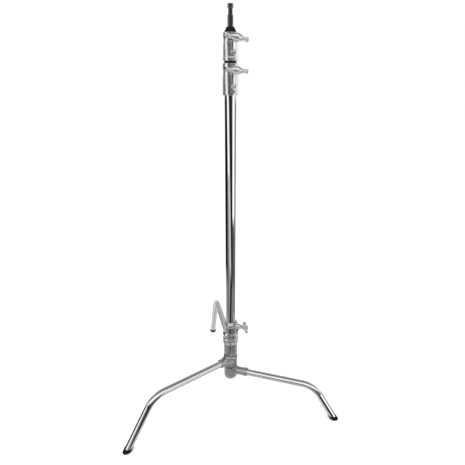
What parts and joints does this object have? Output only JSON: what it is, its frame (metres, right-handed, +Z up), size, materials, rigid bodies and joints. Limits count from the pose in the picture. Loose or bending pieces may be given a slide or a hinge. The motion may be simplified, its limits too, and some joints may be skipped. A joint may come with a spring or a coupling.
{
  "type": "c stand",
  "caption": "Telescoping grip stand with chromed column and risers, T-handle locks, bent tubular legs that swing on stacked hubs, a leg that slides up the column, and a spigot top.",
  "frame": {"origin": "on the floor, at the centre of the stand's bounding box; the column's axis stands at X -29.7 mm, Y -77.9 mm", "axes": "+Z up the column; seen from -Y, +X is to the right, the bottom leg reaches right and towards the viewer, the middle leg left and towards the viewer, and the sliding leg away"},
  "size_m": [0.7624, 0.7008, 1.354],
  "materials": {
    "chrome": "polished chrome plate on steel tube",
    "cast_chrome": "chrome plate on a die casting, slightly soft reflections",
    "cast_grey": "bare tumbled casting, satin grey",
    "dark_steel": "black-chromed machined steel",
    "spring_steel": "zinc-plated steel",
    "brass": "turned brass",
    "nylon": "natural nylon",
    "black_plastic": "moulded black plastic",
    "rubber": "black rubber"
  },
  "bodies": {
    "base": {"column_tube": "chrome", "column_end_plug": "black_plastic", "bottom_hub": "cast_grey", "bottom_hub_rivet": "spring_steel", "bottom_leg_tube": "chrome", "bottom_leg_foot": "rubber", "bottom_leg_pin": "spring_steel", "hub_washer": "nylon", "spring_washer": "spring_steel", "spring_cup": "cast_grey", "spring_cup_screw": "dark_steel", "leg_spring": "spring_steel", "retaining_ring": "cast_chrome", "column_lock_casting": "cast_chrome", "column_lock_rivet": "spring_steel", "column_lock_pad": "brass"},
    "column_lock": {"column_lock_screw": "spring_steel", "column_lock_handle": "cast_chrome"},
    "middle_leg": {"middle_hub": "cast_grey", "middle_leg_tube": "chrome", "middle_leg_foot": "rubber", "middle_leg_pin": "spring_steel"},
    "leg_slide": {"slide_liner": "nylon"},
    "sliding_leg": {"sliding_collar": "cast_chrome", "sliding_leg_tube": "chrome", "sliding_leg_foot": "rubber", "sliding_leg_pin": "spring_steel", "sliding_leg_lock_pad": "brass"},
    "sliding_leg_lock": {"sliding_leg_lock_screw": "spring_steel", "sliding_leg_lock_handle": "cast_chrome"},
    "riser_1_slide": {"riser_1_guide": "nylon"},
    "riser_1": {"riser_1_tube": "chrome", "riser_1_stop_ring": "black_plastic", "riser_1_lock_casting": "cast_chrome", "riser_1_lock_rivet": "spring_steel", "riser_1_lock_pad": "brass"},
    "riser_1_lock": {"riser_1_lock_screw": "spring_steel", "riser_1_lock_handle": "cast_chrome"},
    "riser_2_slide": {"riser_2_guide": "nylon"},
    "riser_2": {"riser_2_tube": "chrome", "top_cap": "black_plastic", "spigot": "dark_steel", "spigot_pin": "spring_steel"}
  },
  "joints": [
    {"name": "middle_leg_swing", "type": "hinge", "parent": "base", "child": "middle_leg", "pos_m": [-0.01829, -0.08701, 0.175], "axis": [0, 0, 1], "range_deg": [0, 114]},
    {"name": "sliding_leg_height", "type": "slide", "parent": "base", "child": "leg_slide", "axis": [0, 0, 1], "range_m": [0, 0.72]},
    {"name": "sliding_leg_swing", "type": "hinge", "parent": "leg_slide", "child": "sliding_leg", "pos_m": [-0.01829, -0.08701, 0.3], "axis": [0, 0, 1], "range_deg": [-110, 0]},
    {"name": "sliding_leg_lock_turn", "type": "hinge", "parent": "sliding_leg", "child": "sliding_leg_lock", "pos_m": [0.03527, -0.1065, 0.332], "axis": [0.9397, -0.342, 0], "range_deg": [0, 360]},
    {"name": "column_lock_turn", "type": "hinge", "parent": "base", "child": "column_lock", "pos_m": [0.00072, -0.12779, 1.187], "axis": [0.4226, -0.9063, 0], "range_deg": [0, 360]},
    {"name": "riser_1_height", "type": "slide", "parent": "base", "child": "riser_1_slide", "axis": [0, 0, 1], "range_m": [0, 0.94]},
    {"name": "riser_1_swivel", "type": "hinge", "parent": "riser_1_slide", "child": "riser_1", "pos_m": [-0.01829, -0.08701, 1.2], "axis": [0, 0, 1], "continuous": true},
    {"name": "riser_1_lock_turn", "type": "hinge", "parent": "riser_1", "child": "riser_1_lock", "pos_m": [0.00072, -0.12779, 1.268], "axis": [0.4226, -0.9063, 0], "range_deg": [0, 360]},
    {"name": "riser_2_height", "type": "slide", "parent": "riser_1", "child": "riser_2_slide", "axis": [0, 0, 1], "range_m": [0, 0.94]},
    {"name": "riser_2_swivel", "type": "hinge", "parent": "riser_2_slide", "child": "riser_2", "pos_m": [-0.01829, -0.08701, 1.29], "axis": [0, 0, 1], "continuous": true}
  ]
}
